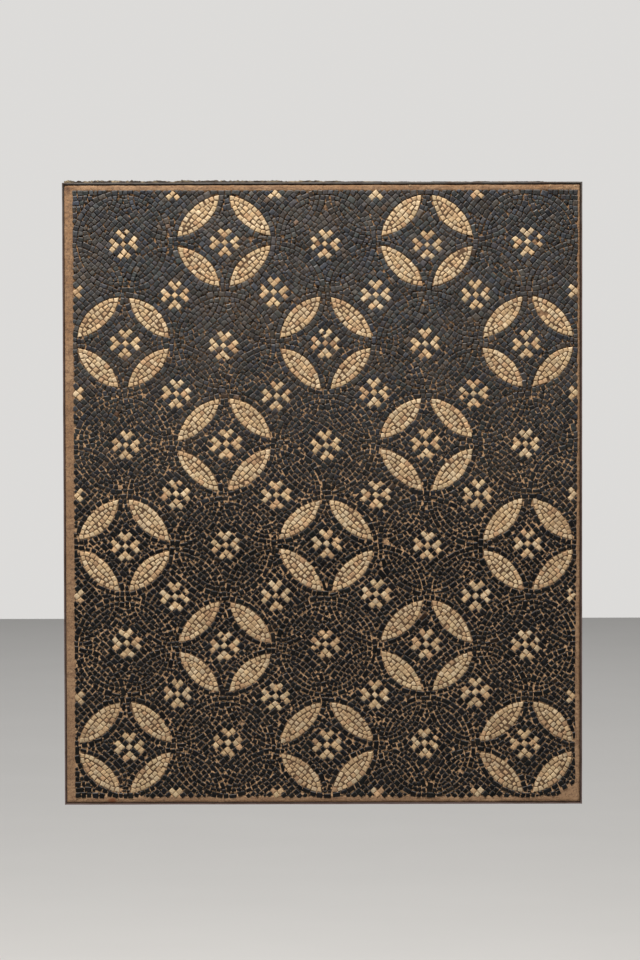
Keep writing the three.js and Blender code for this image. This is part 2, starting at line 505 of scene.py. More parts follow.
missing = [nearestDark(x, z) for x, z in bareSpots]
lostPatches += [(stone.x, stone.z, barePatch) for stone in missing]
for x, z in brownSpots:
    nearestDark(x, z).kind = "brown"


def isLost(stone):
    dx, dz = abs(stone.x - lostX), abs(stone.z - lostZ)
    inLeaf = dx < lostLeaf["half"][0] and dz < lostLeaf["half"][1] and stone.kind == "ivory"
    inCrosslet = stone.kind == "dark" and any(
        math.dist((stone.x, stone.z), lost[:2]) < pitch * 0.55 for lost in lostPatches[:len(lostCells)]
    )
    return inLeaf or inCrosslet or stone in missing


stones = [stone for stone in stones if not isLost(stone)]


# Keeps the part of a convex outline where (point - spot) . normal <= 0.
def cut(outline, spotX, spotZ, normalX, normalZ):
    kept = []
    count = len(outline)
    sides = [(x - spotX) * normalX + (z - spotZ) * normalZ for x, z in outline]
    for k in range(count):
        here, there = outline[k], outline[(k + 1) % count]
        a, b = sides[k], sides[(k + 1) % count]
        if a <= 0:
            kept.append(here)
        if (a < 0 < b) or (b < 0 < a):
            share = a / (a - b)
            kept.append((here[0] + share * (there[0] - here[0]), here[1] + share * (there[1] - here[1])))
    return kept


def areaOf(outline):
    total = 0.0
    for (x0, z0), (x1, z1) in zip(outline, outline[1:] + outline[:1]):
        total += x0 * z1 - x1 * z0
    return total / 2


# Each stone is its own oblong, cut back where a neighbour, a leaf's edge or the field's edge is in its way.
def footprint(stone):
    widened = shareOfWay(stone.z, laying["widening"])
    joint = laying["darkJoint"] + widened * (laying["lowerJoint"] - laying["darkJoint"])
    joint = laying["joint"] if stone.kind == "ivory" else joint
    outline = []
    for i, j in ((-1, -1), (1, -1), (1, 1), (-1, 1)):
        reachA = i * (stone.along - joint * 0.3) * (1 + dice.uniform(-0.07, 0.05))
        reachB = j * (stone.across - joint * 0.3) * (1 + dice.uniform(-0.07, 0.05))
        outline.append(beside(stone.x, stone.z, stone.angle, reachA, reachB))
    for leaf in leavesNear(stone.x, stone.z):
        inLeaf = stone.zone is not None and leaves[stone.zone] is leaf
        for centre, heading in leaf.arcs():
            turn = math.atan2(stone.z - centre[1], stone.x - centre[0])
            off = (turn - heading + math.pi) % (2 * math.pi) - math.pi
            if abs(off) > leaf.halfAngle + (0.05 if inLeaf else 0.02):
                continue
            distance = math.dist((stone.x, stone.z), centre)
            if abs(distance - circleRadius) > 12 or (not inLeaf and distance < circleRadius - 4):
                continue
            sign = 1 if inLeaf else -1
            reach = circleRadius - sign * joint / 2
            if inLeaf and math.dist((stone.x, stone.z), leaf.middle) > leaf.half - pitch:
                reach += laying["bluntTip"]
            normal = (sign * math.cos(turn), sign * math.sin(turn))
            outline = cut(outline, *onCircle(centre, reach, turn), *normal)
    for other in around(stone.x, stone.z):
        if other is stone or math.dist((other.x, other.z), (stone.x, stone.z)) > nearest:
            continue
        if stone.zone is not None and other.zone != stone.zone:
            continue
        gap, nx, nz, mine, theirs = separation(stone, other)
        if other.zone is not None and stone.zone is None:
            reach = mine + gap  # a leaf's stone keeps its whole place
        else:
            reach = mine + gap * mine / (mine + theirs)
        reach -= joint / 2
        if reach < mine:
            outline = cut(outline, stone.x + nx * reach, stone.z + nz * reach, nx, nz)
    inset = joint * 0.4
    outline = cut(outline, fieldLeft + inset, 0, -1, 0)
    outline = cut(outline, rightEdge(stone.z) - inset, 0, 1, 0)
    outline = cut(outline, 0, fieldBottom - lattice["lowerFoot"] + inset, 0, -1)
    outline = cut(outline, 0, fieldTop - inset, 0, 1)
    return outline


# The whole drawing wanders a little, as it does where circles are laid by eye. It lies still at the edges.
def swayed(point):
    x, z = point
    reach = laying["sway"] * limited(edgeDistance(x, z) / 40.0) * 2.0
    spot = Vector((x, z, 0)) / laying["swayLength"]
    return (
        x + reach * noise.noise(spot + Vector((0, 0, 11.5))),
        z + reach * noise.noise(spot + Vector((0, 0, 37.5))),
    )


# Drops corners that lie too near another to be a side of a stone.
def tidied(outline):
    kept = []
    for point in outline:
        if not kept or math.dist(point, kept[-1]) > laying["shortestSide"]:
            kept.append(point)
    while len(kept) > 3 and math.dist(kept[0], kept[-1]) <= laying["shortestSide"]:
        kept.pop()
    return kept


def outlinesByPiece():
    pieces = {"ivory_stones": [], "dark_stones_upper": [], "dark_stones_middle": [], "dark_stones_lower": []}
    limit = laying["middlePart"]
    for stone in stones:
        outline = tidied(footprint(stone))
        if len(outline) < 3 or areaOf(outline) < laying["smallestArea"]:
            continue
        part = "upper" if stone.z > limit else "lower" if stone.z < -limit else "middle"
        name = "ivory_stones" if stone.kind == "ivory" else "dark_stones_" + part
        pieces[name].append(([swayed(point) for point in outline], stone))
    return pieces


nearBy = {}
for stone in stones:
    nearBy.setdefault(cellOf(stone.x, stone.z), []).append(stone)
footprints = outlinesByPiece()
print("stones cut:", {name: len(made) for name, made in footprints.items()})


# Sets a socket to a value, or links it to another socket or to a node's first output.
def connect(tree, value, socket):
    if isinstance(value, bpy.types.Node):
        value = value.outputs[0]
    if isinstance(value, bpy.types.NodeSocket):
        tree.links.new(value, socket)
    else:
        socket.default_value = value


def addNode(tree, kind, inputs=None, **settings):
    made = tree.nodes.new(kind)
    for name, value in settings.items():
        setattr(made, name, value)
    for name, value in (inputs or {}).items():
        connect(tree, value, made.inputs[name])
    return made


def calc(tree, operation, *values):
    return addNode(tree, "ShaderNodeMath", dict(enumerate(values)), operation=operation)


def calcVector(tree, operation, *values):
    return addNode(tree, "ShaderNodeVectorMath", dict(enumerate(values)), operation=operation)


def scaled(tree, vector, factor):
    return addNode(tree, "ShaderNodeVectorMath", {0: vector, "Scale": factor}, operation="SCALE")


def axisOf(tree, vector, axis):
    return addNode(tree, "ShaderNodeSeparateXYZ", {0: vector}).outputs[axis]


def stored(tree, name, kind):
    return addNode(tree, "GeometryNodeInputNamedAttribute", {"Name": name}, data_type=kind)


def chance(tree, kind, limits, inputs):
    return addNode(tree, "FunctionNodeRandomValue", {**limits, **inputs}, data_type=kind)


# A geometry tree with a named input for each size
def newGeometryTree(name, sizes):
    tree = bpy.data.node_groups.new(name, "GeometryNodeTree")
    kinds = {"Geometry": "Geometry", **dict.fromkeys(sizes, "Float"), "Seed": "Int", "Material": "Material"}
    for socketName, kind in kinds.items():
        tree.interface.new_socket(socketName, in_out="INPUT", socket_type="NodeSocket" + kind)
    tree.interface.new_socket("Geometry", in_out="OUTPUT", socket_type="NodeSocketGeometry")
    return tree, tree.nodes.new("NodeGroupInput").outputs


def finishGeometryTree(tree, geometry, material):
    real = addNode(tree, "GeometryNodeRealizeInstances", {"Geometry": geometry})
    painted = addNode(tree, "GeometryNodeSetMaterial", {"Geometry": real, "Material": material})
    connect(tree, painted, tree.nodes.new("NodeGroupOutput").inputs[0])
    return tree


# Turns flat outlines into stones: tilts each, raises it, rounds its shoulders and closes its foot.
def stoneTree():
    names = ("Stand", "Stand Spread", "Tilt", "Shoulder", "Shoulder Scale", "Crown", "Crown Scale")
    tree, given = newGeometryTree("stonesFromOutlines", names)
    dealt = {"ID": stored(tree, "stone", "INT"), "Seed": given["Seed"]}
    lean = chance(tree, "FLOAT_VECTOR", {0: (-1.0, 0.0, -1.0), 1: (1.0, 0.0, 1.0)}, dealt)
    position = tree.nodes.new("GeometryNodeInputPosition")
    away = calcVector(tree, "SUBTRACT", position, stored(tree, "middle", "FLOAT_VECTOR"))
    slope = calcVector(tree, "DOT_PRODUCT", away, lean).outputs["Value"]
    lift = addNode(tree, "ShaderNodeCombineXYZ", {"Y": calc(tree, "MULTIPLY", slope, given["Tilt"])})
    tilted = addNode(tree, "GeometryNodeSetPosition", {"Geometry": given["Geometry"], "Offset": lift})
    vary = chance(tree, "FLOAT", {2: -1.0, 3: 1.0}, dealt).outputs[1]
    height = calc(tree, "ADD", calc(tree, "MULTIPLY", vary, given["Stand Spread"]), given["Stand"])
    values = {"Mesh": tilted, "Offset Scale": height, "Individual": True}
    rising = addNode(tree, "GeometryNodeExtrudeMesh", values)
    top = rising.outputs["Top"]
    for step in ("Shoulder", "Crown"):
        values = {"Mesh": rising, "Selection": top, "Offset Scale": given[step], "Individual": True}
        raised = addNode(tree, "GeometryNodeExtrudeMesh", values)
        top = raised.outputs["Top"]
        values = {"Geometry": raised, "Selection": top, "Scale": given[step + " Scale"]}
        rising = addNode(tree, "GeometryNodeScaleElements", values)
    joined = tree.nodes.new("GeometryNodeJoinGeometry")
    for shape in (addNode(tree, "GeometryNodeFlipFaces", {"Mesh": tilted}), rising):
        connect(tree, shape, joined.inputs[0])
    merged = addNode(tree, "GeometryNodeMergeByDistance", {"Geometry": joined, "Distance": 1e-6})
    return finishGeometryTree(tree, merged, given["Material"])


# Sets a tree's inputs by their sockets' identifiers, and returns the result as a plain piece.
def grown(piece, tree, values, name):
    modifier = piece.modifiers.new("grow", "NODES")
    modifier.node_group = tree
    for item in tree.interface.items_tree:
        if item.item_type == "SOCKET" and item.in_out == "INPUT" and item.name in values:
            modifier[item.identifier] = values[item.name]
    depsgraph = bpy.context.evaluated_depsgraph_get()
    mesh = bpy.data.meshes.new_from_object(piece.evaluated_get(depsgraph), depsgraph=depsgraph)
    piece.modifiers.remove(modifier)
    old = piece.data
    mesh.name = name
    piece.data = mesh
    bpy.data.meshes.remove(old)
    return piece


def newPiece(name, mesh):
    piece = bpy.data.objects.new(name, mesh)
    bpy.context.scene.collection.objects.link(piece)
    return piece


def storeValues(mesh, name, kind, domain, values):
    key = "vector" if kind == "FLOAT_VECTOR" else "value"
    mesh.attributes.new(name, kind, domain).data.foreach_set(key, values)


# A piece from points given in millimetres
def pieceFromPoints(name, points, faces, finish):
    mesh = bpy.data.meshes.new(name)
    mesh.from_pydata([(x * mm, y * mm, z * mm) for x, y, z in points], [], faces)
    if finish:
        mesh.materials.append(materials[finish])
    return newPiece(name, mesh)


def outward(piece):
    shape = bmesh.new()
    shape.from_mesh(piece.data)
    bmesh.ops.recalc_face_normals(shape, faces=shape.faces)
    shape.to_mesh(piece.data)
    shape.free()


# The faces of a closed tube through equal rings of points, one ring after another
def tubeFaces(steps, size):
    faces = []
    for k in range(steps):
        for m in range(size):
            a, b = k * size + m, k * size + (m + 1) % size
            faces.append((a, b, b + size, a + size))
    faces.append(tuple(range(size - 1, -1, -1)))
    faces.append(tuple(range(steps * size, steps * size + size)))
    return faces


# Flat outlines facing the viewer, with each stone's number, middle and tones kept on its face.
def outlinePiece(name, group, depth, firstNumber):
    points, faces, middles, tones, hues = [], [], [], [], []
    for outline, stone in group:
        start = len(points)
        points += [(x, depth, z) for x, z in outline]
        faces.append(range(start, start + len(outline)))
        middleX, middleZ = swayed((stone.x, stone.z))
        middles += [middleX * mm, depth * mm, middleZ * mm]
        tones.append(dice.random())
        hues.append(1.0 if stone.kind == "brown" else dice.random() * 0.995)
    piece = pieceFromPoints(name, points, faces, None)
    storeValues(piece.data, "stone", "INT", "FACE", range(firstNumber, firstNumber + len(group)))
    storeValues(piece.data, "middle", "FLOAT_VECTOR", "FACE", middles)
    storeValues(piece.data, "tone", "FLOAT", "FACE", tones)
    storeValues(piece.data, "hue", "FLOAT", "FACE", hues)
    return piece


# Shader groups that several finishes share
def newShaderGroup(name, inputs, outputs):
    group = bpy.data.node_groups.new(name, "ShaderNodeTree")
    for socketName, value in inputs.items():
        made = group.interface.new_socket(socketName, in_out="INPUT", socket_type="NodeSocketFloat")
        made.default_value = value
    for socketName in outputs:
        group.interface.new_socket(socketName, in_out="OUTPUT", socket_type="NodeSocketFloat")
    return group, group.nodes.new("NodeGroupInput").outputs, group.nodes.new("NodeGroupOutput").inputs


def coordinateOf(tree):
    return addNode(tree, "ShaderNodeTexCoord").outputs["Object"]


def noiseOf(tree, coordinate, scale, detail=4.0, roughness=0.6):
    values = {"Vector": coordinate, "Scale": scale, "Detail": detail, "Roughness": roughness}
    return addNode(tree, "ShaderNodeTexNoise", values).outputs["Fac"]


def ramp(tree, value, stops):
    made = addNode(tree, "ShaderNodeValToRGB", {"Fac": value})
    elements = made.color_ramp.elements
    while len(elements) < len(stops):
        elements.new(0.5)
    for element, (place, color) in zip(elements, stops):
        element.position = place
        element.color = (*color, 1)
    return made.outputs["Color"]


def span(tree, value, low, high, toLow=0.0, toHigh=1.0):
    values = {"Value": value, "From Min": low, "From Max": high, "To Min": toLow, "To Max": toHigh}
    return addNode(tree, "ShaderNodeMapRange", values).outputs[0]


def mix(tree, factor, first, second):
    made = addNode(tree, "ShaderNodeMix", {0: factor}, data_type="RGBA")
    for index, color in ((6, first), (7, second)):
        connect(tree, (*color, 1) if isinstance(color, tuple) else color, made.inputs[index])
    return made.outputs[2]


# Cut stone: fine pits and a coarser break, as a height and a mottled value.
def stoneGrainGroup():
    group, given, result = newShaderGroup(
        "stoneGrain", {"Grain Scale": 900.0, "Break Scale": 190.0}, ("Height", "Mottle")
    )
    coordinate = coordinateOf(group)
    fine = noiseOf(group, coordinate, given["Grain Scale"], 3.0, 0.65)
    coarse = noiseOf(group, coordinate, given["Break Scale"], 4.0, 0.55)
    connect(group, calc(group, "MULTIPLY_ADD", fine, 0.35, coarse), result["Height"])
    connect(group, coarse, result["Mottle"])
    return group


# Mortar dust that clings in patches
def mortarDustGroup():
    group, given, result = newShaderGroup(
        "mortarDust", {"Patch Scale": 9.0, "Speck Scale": 420.0, "Amount": 0.5}, ("Mask",)
    )
    coordinate = coordinateOf(group)
    patch = noiseOf(group, coordinate, given["Patch Scale"], 3.0)
    speck = noiseOf(group, coordinate, given["Speck Scale"], 4.0, 0.7)
    clinging = span(group, calc(group, "MULTIPLY", patch, speck), 0.24, 0.40)
    connect(group, calc(group, "MULTIPLY", clinging, given["Amount"]), result["Mask"])
    return group


grainGroup = stoneGrainGroup()
dustGroup = mortarDustGroup()


def newMaterial(name):
    material = bpy.data.materials.new(name)
    material.use_nodes = True
    tree = material.node_tree
    return material, tree, tree.nodes["Principled BSDF"]


def placed(tree, group, **inputs):
    made = tree.nodes.new("ShaderNodeGroup")
    made.node_tree = group
    for name, value in inputs.items():
        made.inputs[name.replace("_", " ")].default_value = value
    return made


def attributeOf(tree, name):
    return addNode(tree, "ShaderNodeAttribute", attribute_name=name).outputs["Fac"]


def paint(tree, shader, color, roughness, specular=0.5):
    connect(tree, color, shader.inputs["Base Color"])
    connect(tree, roughness, shader.inputs["Roughness"])
    connect(tree, specular, shader.inputs["Specular IOR Level"])


def bumped(tree, shader, height, strength, distance):
    made = addNode(tree, "ShaderNodeBump", {"Height": height, "Strength": strength, "Distance": distance})
    connect(tree, made, shader.inputs["Normal"])


# A stone's own colour, which goes by chance from stone to stone, mottled by the grain
def stoneColor(tree, grain, casts, levels, mottling):
    cast = ramp(tree, attributeOf(tree, "hue"), casts)
    level = span(tree, attributeOf(tree, "tone"), 0.0, 1.0, *levels)
    mottle = span(tree, grain.outputs["Mottle"], 0.3, 0.7, *mottling)
    return scaled(tree, scaled(tree, cast, level), mottle)


# The heights, in metres, between which the panel goes from its darker lower part to the upper one
darkening = (-0.1, 0.42)


# Charcoal stones: blue, green, purple and brown casts from stone to stone.
def darkStoneMaterial():
    material, tree, shader = newMaterial("darkStone")
    grain = placed(tree, grainGroup, Grain_Scale=1100.0, Break_Scale=230.0)
    casts = (
        (0.0, (0.024, 0.028, 0.038)),
        (0.25, (0.030, 0.033, 0.036)),
        (0.45, (0.027, 0.032, 0.031)),
        (0.62, (0.036, 0.035, 0.034)),
        (0.78, (0.031, 0.029, 0.034)),
        (0.93, (0.048, 0.045, 0.040)),
        (0.99, (0.068, 0.051, 0.039)),
        (1.0, (0.14, 0.075, 0.042)),
    )
    mottled = stoneColor(tree, grain, casts, (0.5, 1.7), (0.6, 1.45))
    height = axisOf(tree, coordinateOf(tree), "Z")
    dust = placed(tree, dustGroup, Amount=0.42)
    # The dust patches are real dust, but they are painted thicker towards the top as a painted sheen on the
    # upper half.
    dusty = calc(tree, "MULTIPLY", dust, span(tree, height, -0.1, 0.45, 0.35, 1.0))
    dustAndSheen = mix(tree, dusty, mottled, (0.15, 0.105, 0.07))
    # The stones are painted darker towards the bottom of the panel: painted shade where the light falls off
    # downwards.
    deep = scaled(tree, dustAndSheen, span(tree, height, *darkening, 0.19, 1.25))
    # Faces that look upwards are painted paler: a painted highlight on the stones' upper shoulders, where
    # the light from above falls.
    upward = axisOf(tree, addNode(tree, "ShaderNodeNewGeometry").outputs["Normal"], "Z")
    color = mix(tree, span(tree, upward, 0.2, 0.7, 0.0, 0.75), deep, (0.15, 0.142, 0.14))
    rough = span(tree, grain.outputs["Mottle"], 0.3, 0.7, 0.40, 0.62)
    paint(tree, shader, color, rough, span(tree, height, *darkening, 0.14, 0.45))
    bumped(tree, shader, grain.outputs["Height"], 0.7, 0.0009)
    return material


# Cream limestone, more golden or paler from stone to stone.
def ivoryStoneMaterial():
    material, tree, shader = newMaterial("ivoryStone")
    grain = placed(tree, grainGroup, Grain_Scale=900.0, Break_Scale=260.0)
    casts = (
        (0.0, (0.72, 0.53, 0.30)),
        (0.3, (0.80, 0.62, 0.40)),
        (0.55, (0.74, 0.52, 0.29)),
        (0.8, (0.72, 0.50, 0.28)),
        (0.95, (0.67, 0.42, 0.23)),
        (1.0, (0.48, 0.29, 0.16)),
    )
    mottled = stoneColor(tree, grain, casts, (0.80, 1.10), (0.76, 1.12))
    dust = placed(tree, dustGroup, Amount=0.5, Patch_Scale=14.0)
    dusty = mix(tree, dust, mottled, (0.34, 0.19, 0.09))
    # The stones are painted darker towards the bottom of the panel: painted shade where the light falls off
    # downwards.
    shadedLower = span(tree, axisOf(tree, coordinateOf(tree), "Z"), -0.5, 0.0, 0.86, 1.0)
    paint(tree, shader, scaled(tree, dusty, shadedLower), 0.62)
    bumped(tree, shader, grain.outputs["Height"], 0.6, 0.0007)
    return material


# A rust stain and a dark scratch on the margins: place and reach in metres, and colour
mortarSpots = (
    ((-0.412, -0.043, -0.5985), (0.003, 0.011), (0.20, 0.060, 0.018)),
    ((-0.494, -0.043, 0.5935), (0.001, 0.009), (0.10, 0.050, 0.030)),
)


# Sandy lime mortar, orange-tan above and greyer below, and darkened between the stones by dirt and by
# painted shade in the deep joints.
def mortarMaterial():
    material, tree, shader = newMaterial("mortar")
    coordinate = coordinateOf(tree)
    height = axisOf(tree, coordinate, "Z")
    color = mix(tree, span(tree, height, -0.5, 0.55), (0.26, 0.145, 0.074), (0.30, 0.150, 0.066))
    patch = noiseOf(tree, coordinate, 16.0, 5.0)
    smear = noiseOf(tree, calcVector(tree, "MULTIPLY", coordinate, (0.4, 1.0, 1.6)), 95.0, 5.0, 0.65)
    pits = noiseOf(tree, coordinate, 210.0, 4.0, 0.7)
    sand = noiseOf(tree, coordinate, 900.0, 3.0, 0.7)
    for value, limits, tint in (
        (patch, (0.42, 0.60, 0.0, 0.75), (0.43, 0.265, 0.15)),
        (smear, (0.47, 0.62, 0.0, 0.85), (0.15, 0.070, 0.036)),
        (pits, (0.38, 0.50, 0.9, 0.0), (0.10, 0.050, 0.028)),
        (sand, (0.38, 0.72, 0.0, 0.6), (0.56, 0.37, 0.22)),
    ):
        color = mix(tree, span(tree, value, *limits), color, tint)
    for place, reach, tint in mortarSpots:
        away = calcVector(tree, "DISTANCE", coordinate, place).outputs["Value"]
        color = mix(tree, span(tree, away, *reach, 0.8, 0.0), color, tint)
    joints = noiseOf(tree, coordinate, 190.0, 3.0, 0.6)
    over = calc(tree, "SUBTRACT", joints, span(tree, height, *darkening, 0.482, 0.50))
    clean = mix(tree, span(tree, height, 0.1, 0.4), (0.60, 0.37, 0.20), (0.43, 0.24, 0.112))
    # Where the noise is low the joints are painted near black: partly dirt, partly painted shade in the deep
    # joints. The ivory leaves' brown joints are partly painted shade too.
    dirtAndShade = mix(tree, span(tree, over, -0.04, 0.08), (0.010, 0.007, 0.006), clean)
    joint = mix(tree, attributeOf(tree, "inLeaf"), dirtAndShade, (0.13, 0.075, 0.040))
    paint(tree, shader, mix(tree, attributeOf(tree, "bedded"), color, joint), 0.95)
    bumped(tree, shader, noiseOf(tree, coordinate, 260.0, 6.0, 0.7), 0.8, 0.0016)
    return material


# Old flat iron: grey-brown skin, rust and a little mortar smeared on, and grimy sides
def ironMaterial():
    material, tree, shader = newMaterial("oldIron")
    coordinate = coordinateOf(tree)
    patch = noiseOf(tree, coordinate, 28.0, 6.0, 0.65)
    fine = noiseOf(tree, coordinate, 420.0, 4.0, 0.7)
    upper = span(tree, axisOf(tree, coordinate, "Z"), 0.45, 0.6)
    skin = mix(tree, upper, (0.125, 0.080, 0.073), (0.115, 0.107, 0.101))
    rusty = mix(tree, span(tree, patch, 0.46, 0.60, 0.0, 0.7), skin, (0.065, 0.034, 0.022))
    speckled = mix(tree, span(tree, fine, 0.52, 0.75, 0.0, 0.6), rusty, (0.20, 0.145, 0.105))
    grimy = mix(tree, span(tree, fine, 0.45, 0.7), (0.036, 0.026, 0.022), (0.095, 0.060, 0.045))
    behind = span(tree, axisOf(tree, coordinate, "Y"), cadLow.y + 0.6 * mm, cadLow.y + 1.5 * mm)
    paint(tree, shader, mix(tree, behind, speckled, grimy), 0.8, span(tree, behind, 0.0, 1.0, 0.5, 0.25))
    bumped(tree, shader, fine, 0.5, 0.0006)
    return material


# Dry lime dust in crumbs, some pale and some stained
def crumbMaterial():
    material, tree, shader = newMaterial("mortarCrumbs")
    coordinate = coordinateOf(tree)
    patch = noiseOf(tree, coordinate, 55.0, 3.0)
    fine = noiseOf(tree, coordinate, 600.0, 3.0, 0.7)
    color = mix(tree, span(tree, patch, 0.48, 0.60), (0.028, 0.020, 0.013), (0.26, 0.205, 0.125))
    paint(tree, shader, mix(tree, span(tree, fine, 0.4, 0.7, 0.0, 0.5), color, (0.075, 0.048, 0.028)), 0.95)
    bumped(tree, shader, fine, 0.5, 0.0006)
    return material


materials = {
    "crumb": crumbMaterial(),
    "dark": darkStoneMaterial(),
    "ivory": ivoryStoneMaterial(),
    "mortar": mortarMaterial(),
    "iron": ironMaterial(),
}


# A stone's height and dome in millimetres, and its tilt and how far it narrows upwards
block = {
    "drop": 0.5,            # mean depth of the tops below the foremost one
    "sizes": {"Stand": 6.0, "Stand Spread": 0.45, "Shoulder": 1.15, "Crown": 0.35},
    "shape": {"Tilt": 0.12, "Shoulder Scale": 0.83, "Crown Scale": 0.6, "Seed": 7},
}


def buildStones():
    tree = stoneTree()
    sizes = block["sizes"]
    depth = stoneFace + block["drop"] + sizes["Stand"] + sizes["Shoulder"] + sizes["Crown"]
    values = {**{name: size * mm for name, size in sizes.items()}, **block["shape"]}
    made, first = {}, 0
    for name, group in footprints.items():
        values["Material"] = materials["ivory" if name == "ivory_stones" else "dark"]
        made[name] = grown(outlinePiece(name, group, depth, first), tree, values, name)
        first += len(group)
        print("stones grown:", name, len(group))
    return made


stonePieces = buildStones()

# The mortar slab: crumbly margins, a bed just below the stones' tops, and a plain back
slabWork = {
    "edgeStep": 1.8,
    "edgeZone": 22.0,
    "midStep": 5.5,
    "jointDepth": (3.0, 2.1),  # mean depth of the joints below the stones' tops, above and further down
    "leafJointDepth": 1.5,
    "jointSpread": 0.8,
    "roughness": 0.5,       # how far the sand stands out
    "sandSize": 3.1,
    "waveLength": 42.0,
    "lumpLength": 15.0,
    "crumble": 1.6,         # how far the outer edge is broken down
    "crumbleReach": 3.5,
    "crumbleLength": 7.0,
    "lip": 7.0,             # how deep the sides start behind the margins' face
    "ease": 0.7,            # how far the sides' front and back edges are rounded in
    "seed": 3.0,
}


def gridLines(low, high):
    zone = slabWork["edgeZone"]
    count = round(zone / slabWork["edgeStep"])
    middle = round((high - low - 2 * zone) / slabWork["midStep"])
    lines = [low + zone * k / count for k in range(count)]
    lines += [low + zone + (high - low - 2 * zone) * k / middle for k in range(middle)]
    return lines + [high - zone + zone * k / count for k in range(count + 1)]


# How far a point lies inside the laid stones, from 0 on the margins to 1
def beddedAt(x, z):
    into = min(x - fieldLeft, rightEdge(z) - x, z - fieldBottom, fieldTop - z)
    for width, height in lattice["lostSteps"]:
        into = min(into, max(fieldRight - width - x, z - fieldBottom - height))
    share = limited((into - 0.5) / 3.0)
    for patchX, patchZ, reach in lostPatches:
        away = math.hypot(x - patchX, z - patchZ) / (reach * 0.5)
        share = min(share, limited(away - 0.6))
    return share


# 1 among a leaf's ivory stones, 0 outside
def leafShareAt(x, z):
    return float(any(leaf.ivory and insideLeaf(leaf, x, z, 1.5) for leaf in leavesNear(x, z)))


def slabDepthAt(x, z, low, high):
    spot = Vector((x, z, slabWork["seed"]))
    rough = noise.noise(spot / slabWork["sandSize"]) * slabWork["roughness"]
    wave = noise.noise(spot / slabWork["waveLength"])
    edge = min(x - low[0], high[0] - x, z - low[1], high[1] - z)
    margin = bedFace + rough - 0.25 * wave
    lumps = wave + noise.noise(spot / slabWork["lumpLength"]) * 0.7
    upper, lower = slabWork["jointDepth"]
    deep = upper + (lower - upper) * shareOfWay(z, laying["widening"])
    deep += (slabWork["leafJointDepth"] - deep) * leafShareAt(x, z)
    joints = stoneFace + deep + lumps * slabWork["jointSpread"] + rough * 0.6
    depth = margin + (joints - margin) * beddedAt(x, z)
    broken = max(0.0, 1 - edge / slabWork["crumbleReach"]) ** 2 * slabWork["crumble"]
    return depth + broken * (1.2 + noise.noise(spot / slabWork["crumbleLength"]))


def buildSlab():
    low, high = (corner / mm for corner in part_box("mortar_bed"))
    ease = slabWork["ease"]
    xs = gridLines(low.x + ease, high.x - ease)
    zs = gridLines(low.z + ease, high.z - ease)
    corners = ((xs[0], zs[0]), (xs[-1], zs[-1]))
    points = [(x, slabDepthAt(x, z, *corners), z) for z in zs for x in xs]
    columns, rows, frontCount = len(xs), len(zs), len(points)
    starts = [j * columns + i for j in range(rows - 1) for i in range(columns - 1)]
    faces = [(a, a + 1, a + columns + 1, a + columns) for a in starts]
    rim = list(range(columns))
    rim += [j * columns + columns - 1 for j in range(1, rows)]
    rim += [(rows - 1) * columns + i for i in range(columns - 2, -1, -1)]
    rim += [j * columns for j in range(rows - 2, 0, -1)]
    inner = rim
    middleX, middleZ = (xs[0] + xs[-1]) / 2, (zs[0] + zs[-1]) / 2
    lip = bedFace + slabWork["lip"]
    for depth, out in ((lip, 0.0), (lip + 0.2, ease), (-0.6, ease), (0.0, 0.0)):
        spreadX = 1 + out / (xs[-1] - xs[0]) * 2
        spreadZ = 1 + out / (zs[-1] - zs[0]) * 2
        outer = list(range(len(points), len(points) + len(rim)))
        for x, _, z in [points[index] for index in rim]:
            points.append(((x - middleX) * spreadX + middleX, depth, (z - middleZ) * spreadZ + middleZ))
        for k in range(len(rim)):
            m = (k + 1) % len(rim)
            faces.append((inner[m], inner[k], outer[k], outer[m]))
        inner = outer
    faces.append(tuple(reversed(inner)))
    piece = pieceFromPoints("mortar_slab", points, faces, "mortar")
    bedded = [beddedAt(x, z) if y > bedFace - 2 and number < frontCount else 0.0
              for number, (x, y, z) in enumerate(points)]
    leafShare = [leafShareAt(x, z) * share for (x, _, z), share in zip(points, bedded)]
    storeValues(piece.data, "bedded", "FLOAT", "POINT", bedded)
    storeValues(piece.data, "inLeaf", "FLOAT", "POINT", leafShare)
    for polygon in piece.data.polygons:
        polygon.use_smooth = len(polygon.vertices) == 4
    outward(piece)
    return piece


slabPiece = buildSlab()
print("mortar slab built:", len(slabPiece.data.polygons))

# Flat iron bars with eased edges, slightly wavy and nicked
barWork = {"step": 9.0, "ease": 0.5, "wave": 0.3, "nick": 0.25}


def buildBar(node, name):
    low, high = (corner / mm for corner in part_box(node))
    size = high - low
    upright = size.z > size.x
    length, thick = (size.z, size.x) if upright else (size.x, size.z)
    ease = barWork["ease"]
    section = []
    for y, t in ((low.y, thick / 2), (high.y, thick / 2), (high.y, -thick / 2), (low.y, -thick / 2)):
        innerY = y + ease if y == low.y else y - ease
        innerT = t - ease if t > 0 else t + ease
        pair = [(y, innerT), (innerY, t)]
        section += pair if (y == low.y) == (t > 0) else pair[::-1]
    count = round(length / barWork["step"])
    points = []
    for k in range(count + 1):
        along = length * k / count
        for y, t in section:
            wave = barWork["wave"] * noise.noise(Vector((along / 60, t, len(name))))
            nick = barWork["nick"] * noise.noise(Vector((along / 11, t * 3, 5.0)))
            front = 1.0 if y < low.y + ease + 0.01 else 0.0
            across = t * (1 - 0.08 * front * abs(nick) / barWork["nick"]) + wave * 0.6 * front
            deep = y + front * max(0.0, nick)
            if upright:
                points.append(((low.x + high.x) / 2 + across, deep, low.z + along))
            else:
                points.append((low.x + along, deep, (low.z + high.z) / 2 + across))
    piece = pieceFromPoints(name, points, tubeFaces(count, len(section)), "iron")
    outward(piece)
    return piece


barPieces = {
    "frame_bar_" + side: buildBar("frame_bar_" + side, "iron_bar_" + side)
    for side in ("left", "right", "top", "bottom")
}
print("bars built")


